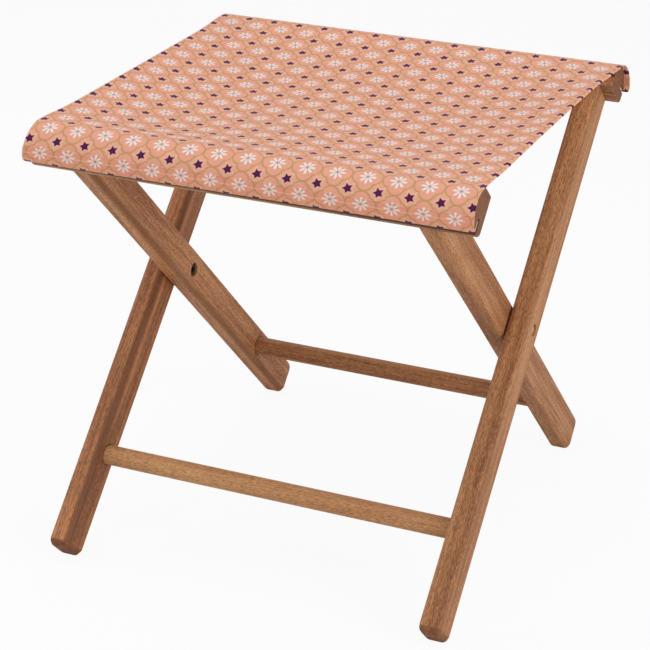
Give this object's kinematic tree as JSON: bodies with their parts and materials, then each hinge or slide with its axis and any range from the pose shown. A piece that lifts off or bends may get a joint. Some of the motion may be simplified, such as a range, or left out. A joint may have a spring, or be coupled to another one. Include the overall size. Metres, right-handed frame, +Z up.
{
  "type": "folding stool",
  "caption": "Folding stool: crossed oiled-wood frames on pivot bolts, round stretchers, domed top rails and a printed cotton sling seat held in grooves in the rails",
  "frame": {"origin": "on the floor, under the middle of the bounding box", "axes": "X along the rails to the right, -Y to the front, +Z up; the stool stands open"},
  "size_m": [0.438, 0.4654, 0.4413],
  "materials": {
    "oiled_wood": "oiled, satin",
    "dowel_wood": "raw",
    "brass": "satin",
    "dark_steel": "blackened",
    "dark_nylon": "matte",
    "white_plastic": "matte",
    "printed_cloth": "printed plain weave"
  },
  "bodies": {
    "outer_frame": {"outer_leg_left": "oiled_wood", "outer_leg_right": "oiled_wood", "front_stretcher": "oiled_wood", "rear_rail": "oiled_wood", "rear_rail_dowel_1": "dowel_wood", "rear_rail_dowel_2": "dowel_wood", "rear_rail_dowel_3": "dowel_wood", "rear_rail_dowel_4": "dowel_wood", "pivot_bolt_left": "brass", "pivot_bolt_right": "brass", "rear_hem_spline": "white_plastic", "rear_cloth_wrap": "printed_cloth", "rear_seat_cloth": "printed_cloth"},
    "inner_frame": {"inner_leg_left": "oiled_wood", "inner_leg_right": "oiled_wood", "rear_stretcher": "oiled_wood", "front_rail": "oiled_wood", "front_rail_dowel_1": "dowel_wood", "front_rail_dowel_2": "dowel_wood", "front_rail_dowel_3": "dowel_wood", "front_rail_dowel_4": "dowel_wood", "pivot_nut_left": "dark_steel", "pivot_nut_right": "dark_steel", "pivot_washer_left": "dark_nylon", "pivot_washer_right": "dark_nylon", "front_hem_spline": "white_plastic", "front_cloth_wrap": "printed_cloth", "front_seat_cloth": "printed_cloth"}
  },
  "joints": [
    {"name": "fold", "type": "hinge", "parent": "outer_frame", "child": "inner_frame", "pos_m": [0, 0, 0.2293], "axis": [-1, 0, 0], "range_deg": [0, 80], "deforming": ["front_seat_cloth", "rear_seat_cloth"]}
  ]
}
